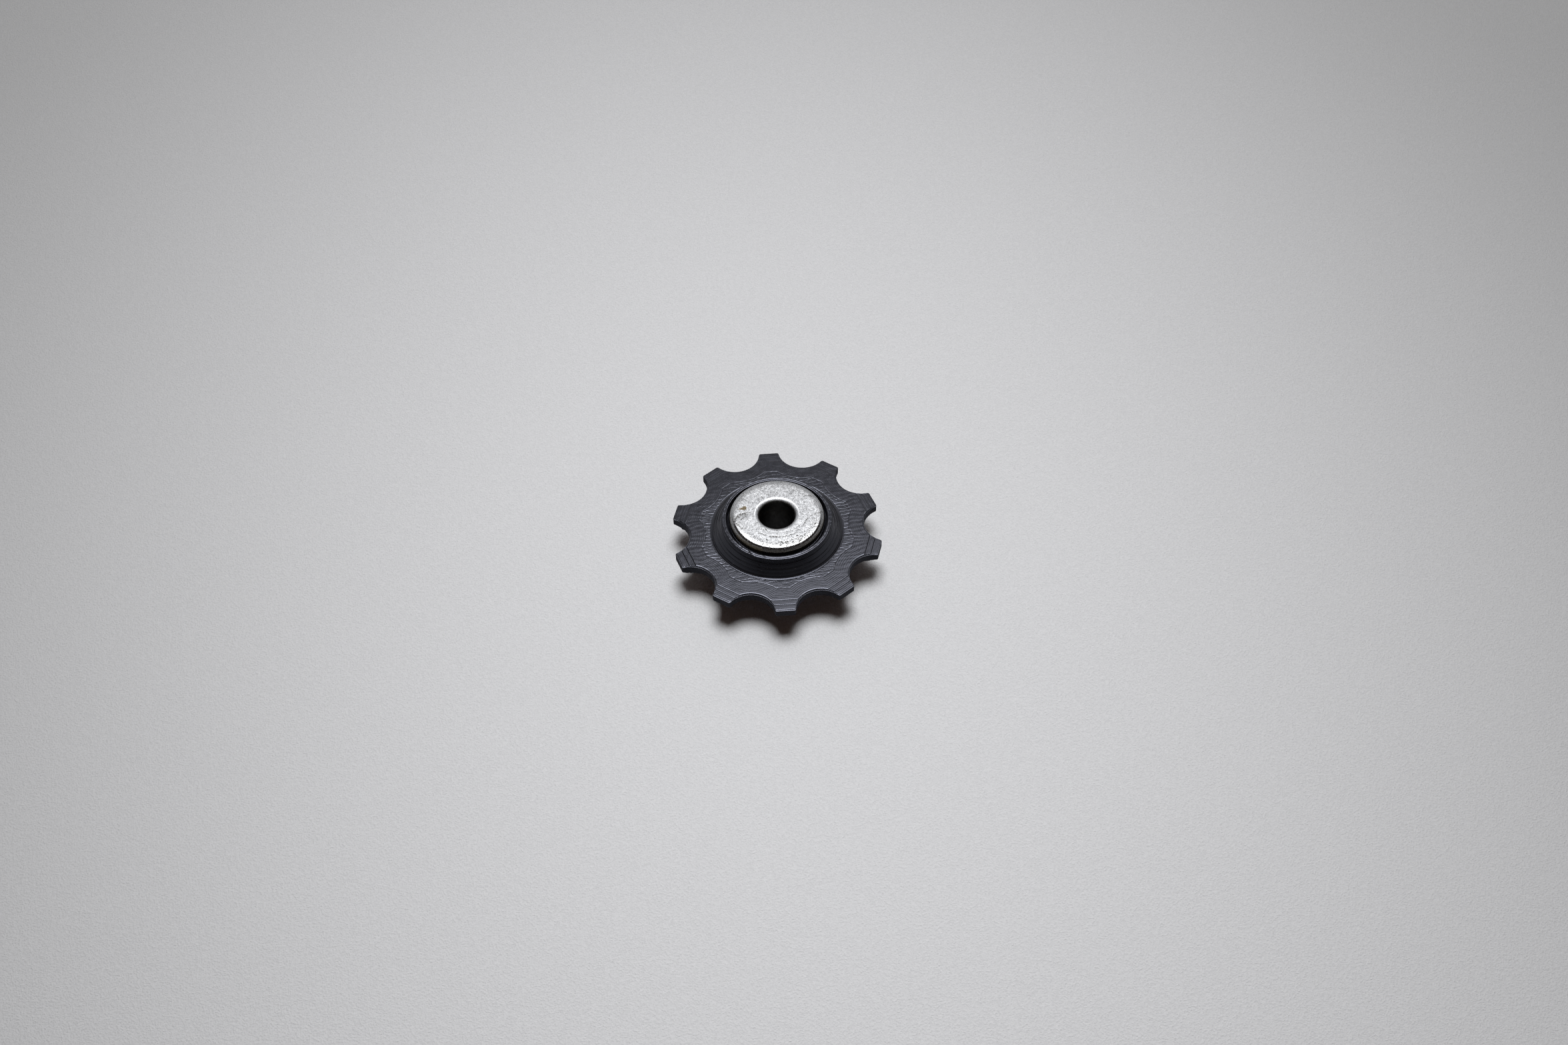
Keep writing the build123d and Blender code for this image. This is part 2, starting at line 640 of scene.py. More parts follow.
@dataclass(frozen=True)
class PaleTable:
    """Pale grey table top with a fine pebbled grain, darkened away from the wheel by painted shade, and a
    painted glow on the far table.
    """

    light: Colour = (0.762, 0.774, 0.798)
    shade: Colour = (0.691, 0.702, 0.725)
    # Grain colours at the oval's edge and beyond: painted shade of a light falloff
    painted_falloff_light: Colour = (0.306, 0.309, 0.314)
    painted_falloff_shade: Colour = (0.278, 0.281, 0.286)
    # Colour of the painted glow on the far table
    far: Colour = (0.265, 0.268, 0.275)
    pool: tuple[float, float] = (265.0, 390.0)
    pool_front: float = 20.0
    roughness: float = 0.62
    grain_size: float = 0.30
    grain_band: Band = (0.3, 0.7)
    grain_depth: float = 0.13
    glow_band: Band = (240.0, 1500.0)

    def outside(self, board: NodeBoard) -> Socket:
        """How far each place lies from the middle of the pale oval round the wheel, whose darkening outwards
        is painted shade.

        Args:
            board: the material's nodes.

        Returns:
            0 in the middle and 1 at the oval's edge and beyond.
        """
        wide, deep = self.pool
        oval = board.millimetres((1 / wide, 1 / deep, 0), (0, self.pool_front / deep, 0))
        share = board.ramp(board.length(oval), FULL)
        share.node.interpolation_type = "SMOOTHSTEP"
        return share

    def glow(self, board: NodeBoard, place: Socket) -> Socket:
        """Painted glow that keeps the far table, which the lamps don't reach, as grey as the backdrop to the
        eye.

        Args:
            board: the material's nodes.
            place: position in millimetres.

        Returns:
            The shader of that glow.
        """
        far = board.ramp(board.length(place), self.glow_band)
        node = board.add("Emission")
        node.inputs["Color"].default_value = (*self.far, 1.0)
        board.join(board.combine(far, board.seen(), "MULTIPLY"), node.inputs["Strength"])
        return node.outputs["Emission"]

    def material(self) -> bpy.types.Material:
        """Make the material.

        Returns:
            The finished material.
        """
        made = bpy.data.materials.new("pale_table")
        board = NodeBoard(made)
        place = board.millimetres()
        shader, both = board.add("BsdfPrincipled"), board.add("AddShader")
        pebbles = board.noise(place, self.grain_size, detail=1.5)
        near = board.colours(pebbles, self.grain_band, self.shade, self.light)
        edge = board.colours(pebbles, self.grain_band, self.painted_falloff_shade, self.painted_falloff_light)
        # Painted shade: the grain turns darker from the oval's middle to its edge
        board.join(board.over(self.outside(board), near, edge), shader.inputs["Base Color"])
        shader.inputs["Roughness"].default_value = self.roughness
        board.join(board.bump(pebbles, self.grain_depth), shader.inputs["Normal"])
        board.join(shader.outputs["BSDF"], both.inputs[0])
        board.join(self.glow(board, place), both.inputs[1])
        board.show(both.outputs["Shader"])
        return made


@dataclass(frozen=True)
class ToothOutline:
    """Outline of the teeth: one flat per tip, and one round gap between each two teeth."""

    tooth_count: int = 10
    tip_reach: float = 20.024
    gap_centre: float = 21.398
    gap_radius: float = 4.724
    flat_share: int = 4
    corner_share: int = 3
    gap_share: int = 8
    guide_inset: float = 4.0
    guide_widening: float = 1.6
    guide_blunt: float = 0.3

    def half_tooth(self, reach: float, gap: float, blunt: float, detail: int) -> np.ndarray:
        """Points from the middle of a tip to the middle of a gap, for a tooth that points along X.

        Args:
            reach: distance from the axle to the flat.
            gap: radius of the gap.
            blunt: radius that rounds the corner between them.
            detail: how many times the basic number of points is used.

        Returns:
            The points, both ends included.
        """
        half = math.pi / self.tooth_count
        centre = self.gap_centre * np.array([math.cos(half), math.sin(half)])
        x = reach - blunt
        y = centre[1] - math.sqrt((gap + blunt) ** 2 - (centre[0] - x) ** 2)
        facing = math.atan2(y - centre[1], x - centre[0])
        across = np.linspace(0.0, y, self.flat_share * detail, endpoint=False)
        turn = np.linspace(0.0, facing + math.pi, self.corner_share * detail, endpoint=False)
        sweep = np.linspace(facing, half - math.pi, self.gap_share * detail + 1)
        return np.concatenate(
            [
                np.column_stack([np.full_like(across, reach), across]),
                np.column_stack([x + blunt * np.cos(turn), y + blunt * np.sin(turn)]),
                np.column_stack([centre[0] + gap * np.cos(sweep), centre[1] + gap * np.sin(sweep)]),
            ]
        )

    def ring(self, reach: float, gap: float, blunt: float, detail: int = 1) -> np.ndarray:
        """Whole outline, from the first tip round the wheel.

        Args:
            reach: distance from the axle to each flat.
            gap: radius of each gap.
            blunt: radius of each corner.
            detail: how many times the basic number of points is used.

        Returns:
            The outline's points as rows of X and Y.
        """
        half = math.pi / self.tooth_count
        leaving = self.half_tooth(reach, gap, blunt, detail)
        nearing = leaving[:0:-1] * (1, -1)
        leaving = leaving[:-1]
        parts = []
        for tooth in range(self.tooth_count):
            for points, angle in ((leaving, (2 * tooth + 1) * half), (nearing, (2 * tooth + 3) * half)):
                c, s = math.cos(angle), math.sin(angle)
                parts.append(points @ np.array([[c, s], [-s, c]]))
        return np.concatenate(parts)

    def circle(self, radius: float, detail: int = 1) -> np.ndarray:
        """Circle round the axle whose points stand in line with those of an outline.

        Args:
            radius: radius of the circle.
            detail: how many times the basic number of points is used.

        Returns:
            The circle's points as rows of X and Y.
        """
        reach, gap = self.tip_reach - self.guide_inset, self.gap_radius + self.guide_widening
        guide = self.ring(reach, gap, self.guide_blunt, detail)
        return radius * guide / np.linalg.norm(guide, axis=1, keepdims=True)


@dataclass(frozen=True)
class FaceDetail:
    """How finely one face of the wheel is meshed, how rough it is and the seed of its waves."""

    stroke_detail: int
    stroke_rings: int
    line_detail: int
    line_rings: int
    tread_lines: bool
    flank_skip: int
    flank_layer: float
    roughness: float
    seed: int


@dataclass
class PrintedWheel:
    """The toothed wheel as it came off the printer, with its lines, steps, layers and scars."""

    outline: ToothOutline = field(default_factory=ToothOutline)

    # Hub
    bore_radius: float = 5.05
    bore_heights: tuple[float, ...] = (-2.0, 0.0, 2.0)
    hub_end: float = 4.25
    groove_inner: float = 7.65
    groove_outer: float = 9.65
    groove_floor: float = 2.65
    rim_radius: float = 10.45
    rim_top: float = 4.18
    neck_foot: float = 3.03
    flank_radius: float = 12.48
    edge: float = 0.1

    # Disc and the steps of its teeth
    disc_top: float = 1.0
    layer: float = 0.1
    step_count: int = 3
    tip_land: float = 0.27
    step_tread: float = 1.08
    step_ledge: float = 0.07
    tip_blunt: float = 0.35
    line_blunt: float = 0.30

    # Printed lines that follow the outline, shallower towards the back
    line_pitch: float = 0.4
    line_count: int = 7
    line_depth: float = 0.009
    line_scatter: float = 0.25
    line_fade: float = 0.55
    line_fade_span: Band = (-12.0, 10.0)
    edge_drop: float = 0.012

    # Strokes to and fro between the hub and those lines, and the groove at the foot of the hub
    stroke_angle_deg: float = 7.0
    stroke_depth: float = 0.007
    stroke_parting: float = 0.013
    stroke_scatter: float = 0.35
    stroke_wobble: float = 0.05
    stroke_gap: float = 0.30
    stroke_turn: float = 0.80
    least_slant: float = 0.05
    foot_gap: float = 0.22
    foot_depth: float = 0.035

    # Waves that the layer below prints through, deepest at the sides, with beads and slow swells
    band_lines: float = 2.4
    band_drift: float = 1.1
    band_depth: float = 0.0026
    band_middle: float = 0.2
    band_sides: Band = (7.0, 16.0)
    bead_depth: float = 0.0009
    swell_depth: float = 0.0010

    # Risers as share of the way to the next step and height over it, and rings on the treads
    riser: Pairs = ((0.025, 0.055), (0.05, -0.002))
    tread_marks: tuple[float, ...] = (0.94, 0.8, 0.67, 0.53, 0.4, 0.27, 0.13, 0.0)
    tread_share: float = 0.8
    tread_depth: float = 0.006

    # Rim: rings inside, share of a line's width and drop of the rings over it, the share of that drop
    # between two lines, and the nozzle's blobs
    rim_wall: tuple[float, ...] = (3.0, 3.4, 3.8)
    rim_lines: int = 2
    rim_profile: Pairs = ((0.0, 0.04), (0.14, 0.008), (0.36, 0.0), (0.64, 0.0), (0.86, 0.008))
    rim_parting: float = 0.5
    rim_edge: float = 0.04
    rim_mottle: float = 0.004
    blobs_deg: tuple[float, ...] = (-124.0, -120.5, -107.3)
    blob_width_deg: float = 0.9
    blob_heights: Band = (0.10, 0.03)

    # Layers of the flank, the rings at its foot, and the seam with the size and rate of its swings
    flank_bulge: float = 0.017
    flank_scatter: float = 0.008
    flank_drift: float = 0.005
    drift_rise: float = 3.0
    flank_foot: Pairs = ((0.05, 0.030), (0.13, 0.004))
    seam_deg: float = -112.0
    seam_swings: Pairs = ((1.6, 2.3), (0.7, 7.1))
    seam_width_deg: float = 0.8
    seam_height: float = 0.012

    # Layers of the tooth walls, and the scars under the teeth by angle and radius
    wall_seed: int = 5
    wall_bulge: float = 0.010
    wall_scatter: float = 0.002
    scars: Pairs = ((-156.8, 18.9), (-152.5, 18.0), (169.3, 18.5), (-25.2, 18.5))
    scar_seed: int = 91
    scar_heights: Band = (-0.15, -0.7)
    scar_radius: float = 0.75
    scar_strength: float = 0.55
    scar_scatter: float = 0.6
    scar_most: float = 1.4
    scar_spread: float = 0.004
    scar_drop: float = 0.30

    faces: dict[Side, FaceDetail] = field(
        default_factory=lambda: {
            Side.UPPER: FaceDetail(
                stroke_detail=4,
                stroke_rings=14,
                line_detail=2,
                line_rings=3,
                tread_lines=True,
                flank_skip=1,
                flank_layer=0.1,
                roughness=1.0,
                seed=11,
            ),
            Side.LOWER: FaceDetail(
                stroke_detail=2,
                stroke_rings=9,
                line_detail=1,
                line_rings=3,
                tread_lines=False,
                flank_skip=2,
                flank_layer=0.2,
                roughness=2.6,
                seed=47,
            ),
        }
    )

    def tip_top(self) -> float:
        """Height of the face at the tips of the teeth."""
        return self.disc_top - self.step_count * self.layer

    def step_reach(self, step: int) -> float:
        """Distance from the axle to the flat edge of a step, where step 0 is the tip itself."""
        return self.outline.tip_reach - (self.tip_land + (step - 1) * self.step_tread if step else 0.0)

    def step_ring(self, step: int, inset: float = 0.0, detail: int = 1) -> np.ndarray:
        """Outline of a step, set back from its edge.

        Args:
            step: number of the step, counted from the tip.
            inset: how far the outline is set back.
            detail: how many times the basic number of points is used.

        Returns:
            The outline's points as rows of X and Y.
        """
        gap = self.outline.gap_radius + step * self.step_ledge + inset
        blunt = self.line_blunt if step else self.tip_blunt
        return self.outline.ring(self.step_reach(step) - inset, gap, blunt, detail)

    def bands(self, points: np.ndarray, face: FaceDetail) -> np.ndarray:
        """Height of the waves that the layer below prints through the top one.

        Args:
            points: places on the face.
            face: the face's meshing and seed.

        Returns:
            The height at each place.
        """
        angle = math.radians(self.stroke_angle_deg)
        across = points @ np.array([-math.sin(angle), math.cos(angle)])
        drift = RandomField(face.seed + 1, wavelength=5.0).at(points)
        phase = 2 * math.pi * across / (self.band_lines * self.line_pitch)
        wave = np.cos(phase + self.band_drift * drift)
        sides = smooth(np.abs(points[:, 0]), *self.band_sides)
        share = self.band_middle + (1.0 - self.band_middle) * sides
        beads = self.bead_depth * RandomField(face.seed + 2, wavelength=0.55).at(points)
        swells = self.swell_depth * RandomField(face.seed + 3, wavelength=2.6).at(points)
        return face.roughness * (self.band_depth * share * wave + beads + swells)

    def relief(self, points: np.ndarray) -> np.ndarray:
        """Share of their full depth that the lines have at each place, most in front and least behind."""
        return 1.0 - self.line_fade * smooth(points[:, 1], *self.line_fade_span)

    def boss(self) -> list[np.ndarray]:
        """Rings from the bore's mouth over the boss and through the groove for the cap's skirt.

        Returns:
            The rings in order.
        """
        e = self.edge
        section = (
            (self.bore_radius, self.hub_end - e),
            (self.bore_radius + e, self.hub_end),
            (self.groove_inner - e, self.hub_end),
            (self.groove_inner, self.hub_end - e),
            (self.groove_inner, self.groove_floor + e),
            (self.groove_inner + e, self.groove_floor),
            (self.groove_outer - e, self.groove_floor),
            (self.groove_outer, self.groove_floor + e),
        )
        return [raised(self.outline.circle(radius)[::2], height) for radius, height in section]

    def blobs(self, flat: np.ndarray, line: int) -> np.ndarray:
        """Height of the blobs that the printer's nozzle left on one line of the rim.

        Args:
            flat: places on the line.
            line: number of the line, counted from the groove.

        Returns:
            The height at each place.
        """
        angle = bearing_deg(flat)
        high, low = self.blob_heights
        height = np.zeros(len(flat))
        for index, at in enumerate(self.blobs_deg):
            top = high if line == index % 2 else low
            height = height + np.exp(-(((angle - at) / self.blob_width_deg) ** 2)) * top
        return height

    def rim(self, face: FaceDetail) -> list[np.ndarray]:
        """Rings up the inside of the rim and over its printed lines.

        Args:
            face: the face's meshing and seed.

        Returns:
            The rings in order.
        """
        rings = [raised(self.outline.circle(self.groove_outer), height) for height in self.rim_wall]
        mottle = RandomField(face.seed + 4, wavelength=0.8)
        for line in range(self.rim_lines):
            for share, drop in self.rim_profile:
                flat = self.outline.circle(self.groove_outer + (line + share) * self.line_pitch)
                sink = self.rim_parting * drop if line and not share else drop
                height = self.rim_top - sink + self.rim_mottle * mottle.at(flat)
                if share:
                    height = height + self.blobs(flat, line)
                rings.append(raised(flat, height))
        rings.append(raised(self.outline.circle(self.rim_radius), self.rim_top - self.rim_edge))
        return rings

    def seam(self, flat: np.ndarray, layer: int) -> np.ndarray:
        """Small outward bead on each layer where the printer's nozzle changed level.

        Args:
            flat: places on the layer.
            layer: number of the layer.

        Returns:
            How far each place stands out.
        """
        at = self.seam_deg + sum(size * math.sin(rate * layer) for size, rate in self.seam_swings)
        return self.seam_height * np.exp(-(((bearing_deg(flat) - at) / self.seam_width_deg) ** 2))

    def flank(self, face: FaceDetail) -> list[np.ndarray]:
        """Rings down the neck and the sloping flank, one crest and one valley to each layer.

        Args:
            face: the face's meshing and seed.

        Returns:
            The rings in order.
        """
        rings = []
        rng = np.random.default_rng(face.seed)
        wander = RandomField(face.seed + 5, wavelength=9.0, axes=3)
        neck_top = self.rim_top - self.edge
        neck_layers = round((neck_top - self.neck_foot) / face.flank_layer)
        slope_layers = round((self.neck_foot - self.disc_top) / face.flank_layer)
        heights = np.linspace(neck_top, self.neck_foot, 2 * neck_layers + 1)[:-1].tolist()
        heights += np.linspace(self.neck_foot, self.disc_top, 2 * slope_layers + 1)[:-1].tolist()
        slope = (self.flank_radius - self.rim_radius) / (self.neck_foot - self.disc_top)
        for index, height in enumerate(heights):
            radius = self.rim_radius + max(0.0, self.neck_foot - height) * slope
            crest = self.flank_bulge * (1 if index % 2 else -1) + rng.normal(0.0, self.flank_scatter)
            flat = self.outline.circle(radius)[::face.flank_skip]
            drift = self.flank_drift * wander.at(raised(flat, self.drift_rise * height))
            out = 1.0 + (crest + drift + self.seam(flat, index // 2) * (index % 2)) / radius
            rings.append(raised(flat * out[:, None], height))
        for gap, rise in self.flank_foot:
            rings.append(raised(self.outline.circle(self.flank_radius + gap), self.disc_top + rise))
        return rings

    def strokes(self, face: FaceDetail) -> list[np.ndarray]:
        """Rings over the strokes between the hub and the lines, laid to and fro with round turns.

        Args:
            face: the face's meshing and seed.

        Returns:
            The rings in order.
        """
        angle = math.radians(self.stroke_angle_deg)
        along = np.array([math.cos(angle), math.sin(angle)])
        pitch = self.line_pitch
        inner = self.outline.circle(self.flank_radius + self.stroke_gap, face.stroke_detail)
        outer = self.step_ring(self.step_count, self.line_count * pitch, face.stroke_detail)
        span = outer - inner
        length = (span**2).sum(1) / np.maximum(np.abs(span @ along), self.least_slant)
        breaks = RandomField(face.seed + 6, wavelength=1.3)
        wobble = RandomField(face.seed + 7, wavelength=2.0)
        foot = self.outline.circle(self.flank_radius + self.foot_gap, face.stroke_detail // 2)
        rings = [raised(foot, self.disc_top - self.foot_depth)]
        for share in np.linspace(0.0, 1.0, face.stroke_rings):
            flat = inner + share * span
            across = flat @ np.array([-along[1], along[0]]) + self.stroke_wobble * wobble.at(flat)
            local = np.abs((across / (2 * pitch) % 1.0) - 0.5) * 2 * pitch
            to_turn = (1.0 - share) * length
            turn = np.hypot(local, np.maximum(0.0, pitch - to_turn))
            aside = np.abs(turn - pitch / 2) / (pitch / 2)
            loose = 1.0 + self.stroke_scatter * breaks.at(flat)
            dip = self.stroke_depth * np.minimum(aside, 1.0) ** 2
            dip = dip + self.stroke_parting * loose * smooth(turn, self.stroke_turn * pitch, pitch)
            rings.append(raised(flat, self.disc_top - dip + self.bands(flat, face)))
        return rings

    def lines(self, face: FaceDetail) -> list[np.ndarray]:
        """Rings over the lines that follow the outline of the top layer, from the innermost outwards.

        Args:
            face: the face's meshing and seed.

        Returns:
            The rings in order.
        """
        rings = []
        loose = RandomField(face.seed + 8, wavelength=3.5)
        for number in reversed(range(self.line_count)):
            for part in reversed(range(face.line_rings)):
                share = part / face.line_rings
                flat = self.step_ring(self.step_count, (number + share) * self.line_pitch, face.line_detail)
                scatter = 1.0 + self.line_scatter * loose.at(flat)
                dip = self.line_depth * (2 * share - 1) ** 2 * scatter * self.relief(flat)
                if number + part == 0:
                    dip = dip + self.edge_drop
                rings.append(raised(flat, self.disc_top - dip + self.bands(flat, face)))
        return rings

    def treads(self, face: FaceDetail) -> list[np.ndarray]:
        """Rings down the printed steps towards the tips.

        Args:
            face: the face's meshing and seed.

        Returns:
            The rings in order.
        """
        rings = []
        for step in range(self.step_count, 0, -1):
            level = self.tip_top() + (step - 1) * self.layer
            upper, lower = self.step_ring(step), self.step_ring(step - 1)
            width = np.linalg.norm(lower - upper, axis=1)
            tread = self.step_reach(step - 1) - self.step_reach(step)
            slack = np.minimum(1.0, width / self.step_tread)
            rings += [raised(upper + (lower - upper) * share, level + rise) for share, rise in self.riser]
            marks = [distance for distance in self.tread_marks if distance < self.tread_share * tread]
            marks = marks if face.tread_lines else [marks[0], 0.0]
            for distance in marks:
                flat = lower + (upper - lower) * (distance / tread)
                share = (distance / self.line_pitch) % 1.0
                dip = self.tread_depth * (2 * share - 1) ** 2 * slack
                if distance == 0.0:
                    dip = np.maximum(dip, self.edge_drop)
                rings.append(raised(flat, level - dip + slack * self.bands(flat, face)))
        return rings

    def wall(self) -> list[np.ndarray]:
        """Rings down the outside of the teeth, one crest and one valley to each layer.

        Returns:
            The rings in order.
        """
        rng = np.random.default_rng(self.wall_seed)
        top = self.tip_top()
        layers = round(2 * top / self.layer)
        rings = []
        for index, height in enumerate(np.linspace(top, -top, 2 * layers + 1)[1:-1]):
            stand = self.wall_bulge * (1 if index % 2 == 0 else -1) + rng.normal(0.0, self.wall_scatter)
            reach, gap = self.outline.tip_reach + stand, self.outline.gap_radius - stand
            rings.append(raised(self.outline.ring(reach, gap, self.tip_blunt), height))
        return rings

    def scar(self, ring: np.ndarray) -> np.ndarray:
        """Pull the lower edge down into the rough nubs that the printing supports left.

        Args:
            ring: one ring of points.

        Returns:
            The ring with its nubs.
        """
        near = smooth(ring[:, 2], *self.scar_heights)
        rough = RandomField(self.scar_seed, wavelength=0.5).at(ring[:, :2])
        strength = np.clip(self.scar_strength + self.scar_scatter * rough, 0.0, self.scar_most)
        for angle, reach in self.scars:
            at = reach * np.array([math.cos(math.radians(angle)), math.sin(math.radians(angle))])
            close = np.exp(-((np.linalg.norm(ring[:, :2] - at, axis=1) / self.scar_radius) ** 2))
            pull = near * close * strength
            spread = self.scar_spread * ring[:, :2] * pull[:, None]
            ring = ring + np.column_stack([spread, -self.scar_drop * pull])
        return ring

    def half(self, side: Side) -> list[np.ndarray]:
        """All rings of one half, as if it were the upper one.

        Args:
            side: the half that is wanted.

        Returns:
            The rings from the bore to the tips.
        """
        face = self.faces[side]
        hub = self.boss() + self.rim(face) + self.flank(face)
        return hub + self.strokes(face) + self.lines(face) + self.treads(face)

    def build(self) -> bpy.types.Object:
        """Make the wheel's mesh.

        Returns:
            The new piece.
        """
        skin = RingStack()
        below = [ring * (1, 1, -1) for ring in reversed(self.half(Side.LOWER))]
        skin.add(*self.half(Side.UPPER), *self.wall(), *below)
        bore = self.outline.circle(self.bore_radius)[::2]
        skin.add(*[raised(bore, height) for height in self.bore_heights])
        skin.rings = [self.scar(ring) for ring in skin.rings]
        return skin.build("printed_wheel")

    def dress(self, piece: bpy.types.Object, finish: PrintedPlastic) -> None:
        """Give the wheel its finish and its place on the turning body.

        Args:
            piece: the wheel's piece.
            finish: the plastic it is printed in.
        """
        piece.data.materials.append(finish.material())
        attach(piece, "wheel")
        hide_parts("pulley_wheel")


@dataclass(frozen=True)
class Crack:
    """A dark line on a cap, through points on its face."""

    points: Pairs
    width: float
    depth: float
    strength: float = 1.0

    def distance(self, places: np.ndarray) -> np.ndarray:
        """Distance of each place from the line.

        Args:
            places: points on the cap's face.

        Returns:
            The shortest distance to any run of the line.
        """
        nearest = np.full(len(places), np.inf)
        for start, end in zip(self.points, self.points[1:]):
            a, run = np.array(start), np.subtract(end, start)
            share = np.clip((places - a) @ run / (run @ run), 0.0, 1.0)
            nearest = np.minimum(nearest, np.linalg.norm(places - a - share[:, None] * run, axis=1))
        return nearest


@dataclass(frozen=True)
class Patch:
    """A spot on a cap, made of overlapping rounds of centre X, centre Y and radius."""

    rounds: tuple[tuple[float, float, float], ...]
    kind: Mask
    strength: float = 1.0

    def share(self, places: np.ndarray, edge: float) -> np.ndarray:
        """How much of the spot lies at each place.

        Args:
            places: points on the cap's face.
            edge: width of the spot's soft edge.

        Returns:
            Numbers from 0 outside to 1 inside.
        """
        inside = np.full(len(places), -np.inf)
        for x, y, radius in self.rounds:
            inside = np.maximum(inside, radius - np.linalg.norm(places - (x, y), axis=1))
        return self.strength * smooth(inside, -edge / 2, edge / 2)


def arc(radius: float, start_deg: float, end_deg: float, drift: float = 0.0, count: int = 16) -> Pairs:
    """Points along a round scratch about the axle, whose radius may change on the way.

    Args:
        radius: radius at the start.
        start_deg: angle at the start.
        end_deg: angle at the end.
        drift: how much the radius grows on the way.
        count: number of points.

    Returns:
        X and Y of each point.
    """
    turns = np.radians(np.linspace(start_deg, end_deg, count))
    reach = radius + np.linspace(0.0, drift, count)
    return tuple((r * math.cos(t), r * math.sin(t)) for r, t in zip(reach, turns))


@dataclass
class DustCap:
    """A drawn steel cap with a round shoulder, a rolled lip at the hole, years of wear and painted shade at
    hole and edge.
    """

    name: str
    node: str
    side: Side
    seed: int
    cracks: tuple[Crack, ...] = ()
    patches: tuple[Patch, ...] = ()

    # Hole and lip, whose inner edge is rounded by shares of its size, inwards and down
    hole_radius: float = 3.45
    lip_width: float = 0.78
    lip_tilts_deg: Band = (38.0, 8.0)
    lip_rings: int = 9
    lip_edge: float = 0.10
    lip_round: Pairs = ((0.0, 1.7), (0.3, 0.7))

    # Face, which droops a little towards the shoulder
    face_height: float = 5.25
    crown_from: float = 7.4
    crown_bend: float = 0.09
    points_round: int = 600
    ring_pitch: float = 0.08

    # Shoulder, skirt and inside
    outer_radius: float = 9.05
    shoulder: float = 0.9
    shoulder_rings: int = 15
    sheet: float = 0.8
    skirt_end: float = 3.05
    skirt_rings: int = 6
    skirt_edge: float = 0.12
    skirt_round: float = 0.3
    inner_bend: float = 0.25
    inner_round: float = 0.08
    under_rings: int = 6

    # Pits, crowded on the worn side between two radii, longer round the axle than across
    worn_side: float = math.radians(-76.0)
    pit_count: int = 300
    pit_ring: Band = (4.3, 8.6)
    pit_stray: float = 0.03
    pit_crowd: Band = (6.2, 7.3)
    pit_size: float = 0.080
    pit_spread: float = 0.40
    pit_depths: Band = (0.003, 0.010)
    pit_squash: Band = (1.3, 0.8)
    pit_edge: Band = (0.25, 0.7)

    # Dents and ragged edges, and where on the face they fade out
    dent_depth: float = 0.0015
    ripple_depth: float = 0.0003
    dent_fade: Band = (-0.7, -0.1)
    skirt_fade: Band = (0.0, 1.0)
    ragged: float = 0.07

    # Marks that run round the face, by distance from its edges, among them painted shade in the hole's throat
    # and over the shoulder and skirt
    lip_fade: Band = (0.05, -0.10)
    throat_shade_fade: Band = (0.30, 0.06)
    grime_and_shade: float = 0.92
    grime_and_shade_fade: Band = (-0.40, -0.10)
    edge_rust: float = 0.13
    edge_rust_fade: Band = (-0.55, -0.20)
    grit_turn: Band = (-0.1, 0.7)
    grit_reach: Band = (6.3, 7.5)

    # Cracks and spots
    crack_spread: float = 1.4
    crack_solid: float = 0.55
    crack_breaks: Band = (-0.9, 0.2)
    crack_sink: float = 0.12
    blotches: Band = (-0.1, 0.7)
    patch_ragged: float = 0.4
    patch_edge: float = 0.12
    patch_sink: float = 0.003

    def crown(self, radius: float) -> float:
        """How far the face droops at a radius, on its way to the shoulder."""
        return 0.5 * self.crown_bend * max(0.0, radius - self.crown_from) ** 2

    def lip(self) -> list[tuple[float, float]]:
        """Radius and height of each ring of the dished lip, from the edge of the hole outwards.

        Returns:
            The rings, the first of the flat face included.
        """
        tilts = np.radians(np.linspace(*self.lip_tilts_deg, self.lip_rings))
        run = (self.lip_width - self.lip_edge) / len(tilts)
        rings = [(self.hole_radius + self.lip_width, self.face_height)]
        for tilt in tilts[::-1]:
            radius, height = rings[0]
            rings.insert(0, (radius - run, height - run * math.tan(tilt)))
        foot, e = rings[0][1], self.lip_edge
        return [(self.hole_radius + out * e, foot - down * e) for out, down in self.lip_round] + rings

    def section(self) -> list[tuple[float, float]]:
        """Radius and height of each ring, from the foot of the hole over the face and back inside.

        Returns:
            The rings in order.
        """
        flat_from, flat_to = self.hole_radius + self.lip_width, self.outer_radius - self.shoulder
        steps = round((flat_to - flat_from) / self.ring_pitch)
        outer, inner = self.outer_radius, self.outer_radius - self.sheet
        top, under, end = self.face_height, self.face_height - self.sheet, self.skirt_end
        e, k, bend, turn = self.skirt_edge, self.skirt_round, self.inner_bend, self.inner_round
        section = [(self.hole_radius, under)] + self.lip()
        section += [(r, top - self.crown(r)) for r in np.linspace(flat_from, flat_to, steps + 1)[1:]]
        for degrees in np.linspace(0, 90, self.shoulder_rings)[1:]:
            a = math.radians(degrees)
            radius = flat_to + self.shoulder * math.sin(a)
            section.append((radius, top - self.crown(radius) - self.shoulder * (1 - math.cos(a))))
        section += [(outer, h) for h in np.linspace(section[-1][1], end + e, self.skirt_rings)[1:]]
        section += [(outer - e * k, end + k * e), (outer - e, end), (inner + e, end), (inner, end + e)]
        section += [(inner, under - bend), (inner - turn, under - turn), (inner - bend, under)]
        inwards = np.linspace(inner - bend, self.hole_radius, self.under_rings)
        return section + [(r, under) for r in inwards[1:-1]]

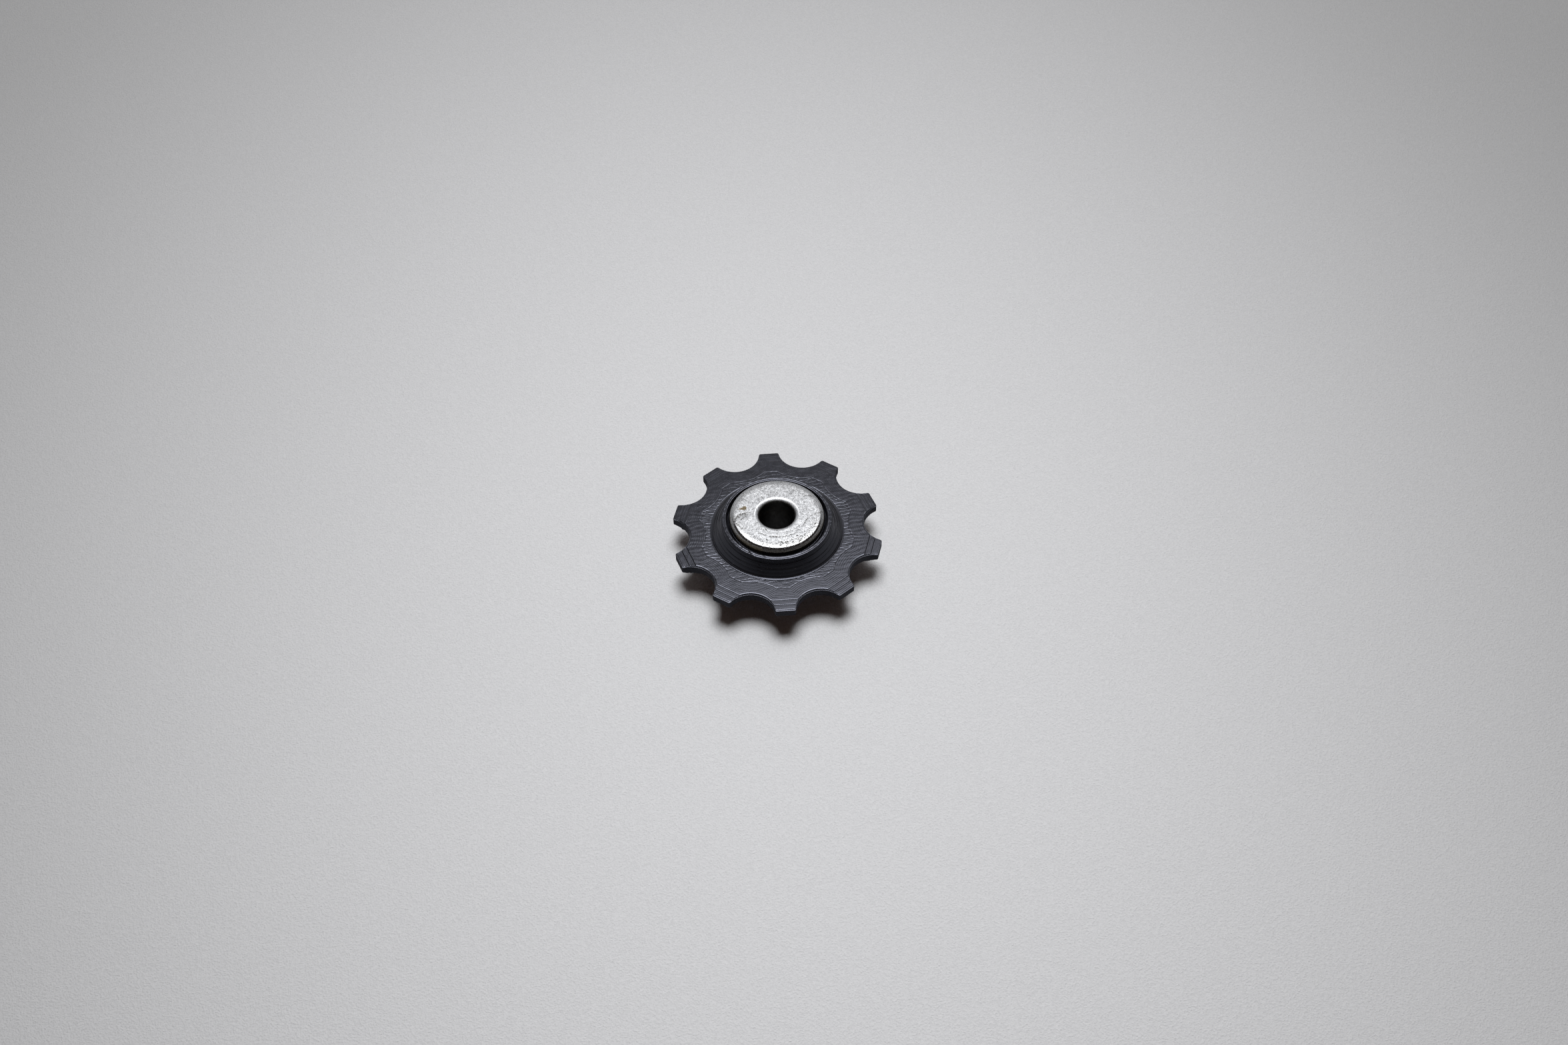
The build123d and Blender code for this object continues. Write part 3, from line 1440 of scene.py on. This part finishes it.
    def pits(self) -> np.ndarray:
        """Place, radius and depth of each pit, crowded towards the front and the right of the face.

        Returns:
            One row for each pit.
        """
        rng = np.random.default_rng(self.seed)
        nearest, furthest = self.pit_ring
        rows: list[tuple[float, float, float, float]] = []
        while len(rows) < self.pit_count:
            radius = math.sqrt(rng.uniform(nearest**2, furthest**2))
            angle = rng.uniform(-math.pi, math.pi)
            crowd = float(smooth(np.array(radius), *self.pit_crowd))
            towards = max(0.0, math.cos(angle - self.worn_side))
            chance = self.pit_stray + (1.0 - self.pit_stray) * towards**3 * crowd
            size = rng.lognormal(math.log(self.pit_size), self.pit_spread)
            depth = rng.uniform(*self.pit_depths)
            if rng.uniform() < chance:
                rows.append((radius * math.cos(angle), radius * math.sin(angle), size, depth))
        return np.array(rows)

    def round_marks(self, places: np.ndarray) -> dict[Mask, np.ndarray]:
        """Marks round the face: the lip, painted shade in the throat, dirt with painted shade at the edge,
        the worn side's grit.

        Args:
            places: X and Y of each point.

        Returns:
            The share of each mark at each point, and none of the pits.
        """
        reach = np.linalg.norm(places, axis=1)
        towards = places @ np.array([math.cos(self.worn_side), math.sin(self.worn_side)]) / reach
        # Painted shade in the throat of the hole, a recess
        throat = smooth(reach, *moved(self.throat_shade_fade, self.hole_radius))
        # Dirt and painted shade over the shoulder and skirt, where the cap sinks into the groove
        grime_and_shade = smooth(reach, *moved(self.grime_and_shade_fade, self.outer_radius))
        return {
            Mask.PIT: np.zeros(len(places)),
            Mask.STAIN_AND_SHADE: np.maximum(throat, self.grime_and_shade * grime_and_shade),
            Mask.RUST: self.edge_rust * smooth(reach, *moved(self.edge_rust_fade, self.outer_radius)),
            Mask.LIP: smooth(reach, *moved(self.lip_fade, self.hole_radius + self.lip_width)),
            Mask.GRIT: smooth(towards, *self.grit_turn) * smooth(reach, *self.grit_reach),
        }

    def wear(self, places: np.ndarray, face: np.ndarray) -> tuple[np.ndarray, dict[Mask, np.ndarray]]:
        """Work out the dents and marks of the outer face.

        Args:
            places: X and Y of each point.
            face: share of the outer face at each point, 0 on the skirt's inside.

        Returns:
            How deep each point sinks, and the marks for the finish.
        """
        marks = self.round_marks(places)
        dents = self.dent_depth * RandomField(self.seed + 1, wavelength=3.0).at(places)
        sunk = dents + self.ripple_depth * RandomField(self.seed + 2, wavelength=0.7).at(places)
        ragged = places + self.ragged * np.column_stack(
            [RandomField(self.seed + n, wavelength=0.5).at(places) for n in (3, 4)]
        )
        for x, y, radius, depth in self.pits():
            outwards = np.array([x, y]) / math.hypot(x, y)
            sideways = np.array([-outwards[1], outwards[0]])
            away = ragged - (x, y)
            across, along = self.pit_squash
            apart = (across * (away @ outwards)) ** 2 + (along * (away @ sideways)) ** 2
            bowl = np.exp(-apart / radius**2)
            sunk = sunk + depth * bowl
            marks[Mask.PIT] = np.maximum(marks[Mask.PIT], smooth(bowl, *self.pit_edge))
        broken = smooth(RandomField(self.seed + 5, wavelength=0.8).at(places), *self.crack_breaks)
        solid = self.crack_solid + (1.0 - self.crack_solid) * broken
        for crack in self.cracks:
            line = np.exp(-((crack.distance(ragged) / (self.crack_spread * crack.width)) ** 2)) * solid
            sunk = sunk + self.crack_sink * crack.depth * line
            marks[Mask.STAIN_AND_SHADE] = np.maximum(marks[Mask.STAIN_AND_SHADE], crack.strength * line)
        blotch = smooth(RandomField(self.seed + 6, wavelength=0.45).at(places), *self.blotches)
        frayed = (1.0 - self.patch_ragged) * places + self.patch_ragged * ragged
        for patch in self.patches:
            share = patch.share(frayed, self.patch_edge)
            if patch.kind is Mask.STAIN_AND_SHADE:
                share = share * blotch
            sunk = sunk + self.patch_sink * share
            marks[patch.kind] = np.maximum(marks[patch.kind], share)
        return sunk * face, {mask: values * face for mask, values in marks.items()}

    def build(self) -> bpy.types.Object:
        """Make the cap's mesh, with its marks on the points.

        Returns:
            The new piece.
        """
        turn = np.linspace(0.0, 2 * math.pi, self.points_round, endpoint=False)
        unit = np.column_stack([np.cos(turn), np.sin(turn)])
        section = self.section()
        count = len(section)
        last_outer = max(i for i, (r, _) in enumerate(section) if r == self.outer_radius)
        skin = RingStack()
        skin.add(*[raised(radius * unit, height) for radius, height in section])
        points = skin.points()
        number = np.repeat(np.arange(count), self.points_round)
        face = (number <= last_outer) * smooth(points[:, 2], *moved(self.skirt_fade, self.skirt_end))
        sunk, marks = self.wear(points[:, :2], face)
        points[:, 2] -= sunk * smooth(points[:, 2], *moved(self.dent_fade, self.face_height))
        points[:, 2] *= self.side.value
        rings = np.split(points, count)
        order = np.arange(count) if self.side is Side.UPPER else np.arange(count)[::-1]
        skin.rings = [rings[i] for i in order]
        piece = skin.build(self.name)
        for mask, values in marks.items():
            by_ring = np.split(values, count)
            layer = piece.data.attributes.new(mask.value, "FLOAT", "POINT")
            layer.data.foreach_set("value", np.concatenate([by_ring[i] for i in order]))
        return piece

    def dress(self, piece: bpy.types.Object, material: bpy.types.Material) -> None:
        """Give the cap its finish and its place on the axle.

        Args:
            piece: the cap's piece.
            material: the steel that both caps share.
        """
        piece.data.materials.append(material)
        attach(piece, "axle_set")
        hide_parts(self.node)


# Marks on the face that shows, placed as in the photograph
LONG_CRACK = ((8.6, -0.15), (7.4, -0.54), (6.65, -0.76), (5.76, -1.5), (5.03, -2.68), (4.44, -3.49))
LEFT_CRACK = (
    (-5.1, 0.85), (-6.15, 0.75), (-7.3, 0.4), (-7.95, -0.76), (-8.0, -1.5), (-7.5, -2.1), (-6.9, -3.1),
)
UPPER_CRACKS = (
    Crack(LONG_CRACK, width=0.07, depth=0.03, strength=0.9),
    Crack(((6.3, 4.12), (6.75, 4.16), (7.2, 3.95)), width=0.08, depth=0.03, strength=0.9),
    Crack(LEFT_CRACK, width=0.10, depth=0.03, strength=0.95),
    Crack(((-5.5, 0.45), (-6.2, -0.27), (-7.1, -1.0), (-7.35, -2.1)), width=0.10, depth=0.02, strength=0.6),
    Crack(arc(5.72, -131.0, -55.0, 0.15), width=0.075, depth=0.03, strength=1.0),
    Crack(arc(5.15, -78.0, -38.0, -0.1), width=0.06, depth=0.02, strength=0.7),
    Crack(arc(4.75, -140.0, -60.0, 0.05), width=0.05, depth=0.015, strength=0.45),
    Crack(arc(6.9, 55.0, 98.0, 0.1), width=0.10, depth=0.01, strength=0.35),
)
FLECK_HALO = (
    (-7.2, 1.83, 0.14), (-6.9, 1.85, 0.25), (-6.5, 1.88, 0.38), (-6.05, 1.93, 0.53), (-5.95, 2.1, 0.46),
)
FLECK = (
    (-7.2, 1.83, 0.08), (-6.9, 1.85, 0.17), (-6.5, 1.88, 0.30), (-6.05, 1.93, 0.45), (-5.95, 2.1, 0.38),
)
EDGE_RUST = tuple((x, y, 0.30) for x, y in arc(9.0, -150.0, -114.0, count=13))
UPPER_PATCHES = (
    Patch(FLECK_HALO, Mask.STAIN_AND_SHADE, 0.9),
    Patch(FLECK, Mask.RUST, 1.0),
    Patch(((-6.3, 0.45, 0.55), (-7.1, 0.05, 0.5), (-5.7, 0.6, 0.4)), Mask.STAIN_AND_SHADE, 0.9),
    Patch(((-8.76, 0.0, 0.14),), Mask.PIT, 1.0),
    Patch(((5.3, 2.76, 0.4),), Mask.STAIN_AND_SHADE, 0.7),
    Patch(EDGE_RUST, Mask.RUST, 0.45),
)

# Marks on the hidden face, made up in the same style
LOWER_CRACKS = (
    Crack(arc(5.6, 20.0, 130.0, 0.2), width=0.07, depth=0.02, strength=0.6),
    Crack(arc(5.1, 200.0, 290.0, -0.1), width=0.06, depth=0.02, strength=0.6),
)
LOWER_PATCHES = (
    Patch(((6.2, 4.2, 0.5), (5.6, 4.9, 0.4)), Mask.RUST, 0.8),
    Patch(((-4.4, 5.2, 0.7), (-5.2, 4.6, 0.6)), Mask.STAIN_AND_SHADE, 0.8),
)


@dataclass
class AxleBush:
    """The turned sleeve between the caps, which keeps its solid's own shape."""

    node: str = "axle_bush"

    def dress(self, finish: GreasySteel) -> None:
        """Give the sleeve its finish.

        Args:
            finish: the steel it is turned from.
        """
        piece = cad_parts[self.node]
        piece.data.materials.clear()
        piece.data.materials.append(finish.material())
        LOG.info("%s: keeps its solid", piece.name)


@dataclass
class Table:
    """The pale table that the wheel lies on."""

    top: float = -5.25
    half_width: float = 3000.0
    cells: int = 12

    def build(self) -> bpy.types.Object:
        """Make the table top as a flat grid.

        Returns:
            The new object.
        """
        steps = np.linspace(-self.half_width, self.half_width, self.cells + 1)
        points = [(x * MM, y * MM, self.top * MM) for y in steps for x in steps]
        row = self.cells + 1
        corners = [j * row + i for j in range(self.cells) for i in range(self.cells)]
        mesh = bpy.data.meshes.new("table")
        mesh.from_pydata(points, [], [(c, c + 1, c + row + 1, c + row) for c in corners])
        return placed("table", mesh)

    def dress(self, piece: bpy.types.Object, finish: PaleTable) -> None:
        """Give the table its finish and mark it as no part of the wheel."""
        piece.data.materials.append(finish.material())
        piece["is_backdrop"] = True


def heading(azimuth_deg: float, elevation_deg: float) -> Vector:
    """Direction from the wheel to a place round it.

    Args:
        azimuth_deg: angle round the axle, where 0 is the front.
        elevation_deg: angle above the table.

    Returns:
        The direction, of length one.
    """
    a, e = math.radians(azimuth_deg), math.radians(elevation_deg)
    return Vector((math.sin(a) * math.cos(e), -math.cos(a) * math.cos(e), math.sin(e)))


@dataclass(frozen=True)
class PhotoCamera:
    """Camera that looks at the wheel from where the photograph was taken."""

    azimuth_deg: float = -4.58
    elevation_deg: float = 48.42
    roll_deg: float = -0.32
    distance: float = 414.9
    lens: float = 50.0
    sensor: float = 36.0
    clip: Band = (5.0, 20000.0)
    frame_px: tuple[int, int] = (2352, 1568)
    target_px: tuple[float, float] = (1165.46, 794.87)
    target_height: float = 0.7

    def build(self) -> bpy.types.Object:
        """Make the camera and hand it to the scene.

        Returns:
            The camera.
        """
        back = heading(self.azimuth_deg, self.elevation_deg)
        azimuth = math.radians(self.azimuth_deg)
        level = Vector((math.cos(azimuth), math.sin(azimuth), 0.0))
        roll = Matrix.Rotation(math.radians(self.roll_deg), 3, back)
        right, up = roll @ level, roll @ back.cross(level)
        per_px = self.distance * self.sensor / (self.lens * self.frame_px[0])
        aside = (self.target_px[0] - self.frame_px[0] / 2) * per_px
        above = (self.target_px[1] - self.frame_px[1] / 2) * per_px
        place = Vector((0.0, 0.0, self.target_height)) - right * aside + up * above + back * self.distance
        data = bpy.data.cameras.new("photo_camera")
        data.lens, data.sensor_width, data.sensor_fit = self.lens, self.sensor, "HORIZONTAL"
        data.clip_start, data.clip_end = (limit * MM for limit in self.clip)
        camera = placed("photo_camera", data)
        turn = Matrix((right, up, back)).transposed().to_4x4()
        camera.matrix_world = Matrix.Translation(place * MM) @ turn
        bpy.context.scene.camera = camera
        return camera


class LampShape(Enum):
    """Outlines that a soft lamp's face can have."""

    ROUND = "ELLIPSE"
    OBLONG = "RECTANGLE"


@dataclass(frozen=True)
class SoftLamp:
    """A soft box that points at the wheel, with an evenly bright face."""

    name: str
    shape: LampShape
    azimuth_deg: float
    elevation_deg: float
    distance: float
    width: float
    height: float
    brightness: float

    def area(self) -> float:
        """Area of the lamp's face in square metres."""
        fill = math.pi / 4 if self.shape is LampShape.ROUND else 1.0
        return self.width * self.height * MM**2 * fill

    def build(self) -> bpy.types.Object:
        """Make the lamp.

        Returns:
            The lamp.
        """
        data = bpy.data.lights.new(self.name, "AREA")
        data.shape, data.size, data.size_y = self.shape.value, self.width * MM, self.height * MM
        data.energy = self.brightness * math.pi * self.area()
        lamp = placed(self.name, data)
        towards = heading(self.azimuth_deg, self.elevation_deg)
        lamp.location = towards * self.distance * MM
        lamp.rotation_mode = "QUATERNION"
        lamp.rotation_quaternion = (-towards).to_track_quat("-Z", "Y")
        return lamp


@dataclass(frozen=True)
class DimRoom:
    """The room round the table, which gives little light, and the pale backdrop that the metal mirrors."""

    above: Colour = (0.023, 0.015, 0.012)
    horizon: Colour = (0.66, 0.41, 0.30)
    horizon_rise: Band = (0.0, 0.35)
    horizon_turn: Band = (-0.2, 0.5)
    horizon_front: float = 0.15
    backdrop: Colour = (0.39, 0.393, 0.40)
    backdrop_rise: Band = (0.34, 0.64)
    backdrop_turn: Band = (-0.75, -0.15)
    backdrop_front: float = 0.45

    def light(self, board: NodeBoard, split: bpy.types.Node) -> Socket:
        """Colour of the light that the room gives, which is least in front.

        Args:
            board: the world's nodes.
            split: node that gives the parts of the direction.

        Returns:
            The colour.
        """
        rise = board.ramp(split.outputs["Z"], self.horizon_rise)
        behind = board.colours(rise, FULL, self.horizon, self.above)
        ahead = board.colours(rise, FULL, shaded(self.horizon, self.horizon_front), self.above)
        return board.over(board.ramp(split.outputs["Y"], self.horizon_turn), ahead, behind)

    def mirrored(self, board: NodeBoard, split: bpy.types.Node) -> Socket:
        """Colour that the eye and the metal see round the table, which is darkest in front.

        Args:
            board: the world's nodes.
            split: node that gives the parts of the direction.

        Returns:
            The colour.
        """
        rise = board.ramp(split.outputs["Z"], self.backdrop_rise)
        behind = board.colours(rise, FULL, self.backdrop, self.above)
        ahead = board.colours(rise, FULL, shaded(self.backdrop, self.backdrop_front), self.above)
        return board.over(board.ramp(split.outputs["Y"], self.backdrop_turn), ahead, behind)

    def build(self) -> bpy.types.World:
        """Make the world and hand it to the scene.

        Returns:
            The world.
        """
        world = bpy.data.worlds.new("dim_room")
        board = NodeBoard(world)
        dim, pale = board.add("Background"), board.add("Background")
        pick, end = board.add("MixShader"), board.add("OutputWorld")
        towards, split = board.add("TexCoord"), board.add("SeparateXYZ")
        board.join(towards.outputs["Generated"], split.inputs["Vector"])
        board.join(self.light(board, split), dim.inputs["Color"])
        board.join(self.mirrored(board, split), pale.inputs["Color"])
        board.join(board.seen(), pick.inputs["Fac"])
        board.join(dim.outputs["Background"], pick.inputs[1])
        board.join(pale.outputs["Background"], pick.inputs[2])
        board.join(pick.outputs["Shader"], end.inputs["Surface"])
        bpy.context.scene.world = world
        return world


# Both caps, with their marks
CAPS = (
    DustCap(
        name="worn_cap_upper",
        node="dust_cap_upper",
        side=Side.UPPER,
        seed=21,
        cracks=UPPER_CRACKS,
        patches=UPPER_PATCHES,
    ),
    DustCap(
        name="worn_cap_lower",
        node="dust_cap_lower",
        side=Side.LOWER,
        seed=63,
        cracks=LOWER_CRACKS,
        patches=LOWER_PATCHES,
    ),
)

# Lamps above and behind the wheel, as the photograph's light falls
LAMPS = (
    SoftLamp(
        name="key_core",
        shape=LampShape.ROUND,
        azimuth_deg=178.0,
        elevation_deg=72.0,
        distance=2000.0,
        width=1072.0,
        height=1072.0,
        brightness=8.2,
    ),
    SoftLamp(
        name="key_edge",
        shape=LampShape.ROUND,
        azimuth_deg=168.0,
        elevation_deg=68.0,
        distance=2000.0,
        width=1338.0,
        height=1338.0,
        brightness=3.1,
    ),
    SoftLamp(
        name="back_panel",
        shape=LampShape.OBLONG,
        azimuth_deg=176.0,
        elevation_deg=35.3,
        distance=2000.0,
        width=2500.0,
        height=1034.0,
        brightness=0.46,
    ),
)


def report(piece: bpy.types.Object) -> None:
    """Log a piece's name and its number of triangles."""
    piece.data.calc_loop_triangles()
    LOG.info("%s: %d triangles", piece.name, len(piece.data.loop_triangles))


def main() -> None:
    """Build the wheel, its caps, the table, the light and the camera."""
    logging.basicConfig(level=logging.INFO, format="%(name)s: %(message)s")
    PhotoCamera().build()
    wheel = PrintedWheel()
    printed = wheel.build()
    wheel.dress(printed, PrintedPlastic())
    report(printed)
    steel = WornSteel().material()
    for cap in CAPS:
        piece = cap.build()
        cap.dress(piece, steel)
        report(piece)
    AxleBush().dress(GreasySteel())
    table = Table()
    table.dress(table.build(), PaleTable())
    for lamp in LAMPS:
        lamp.build()
    DimRoom().build()
    bpy.context.scene.view_settings.view_transform = "Standard"
    low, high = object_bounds()
    corners = [[round(v * PER_METRE, 2) for v in corner] for corner in (low, high)]
    LOG.info("visual box %s to %s mm", *corners)


if __name__ == "__main__":
    main()
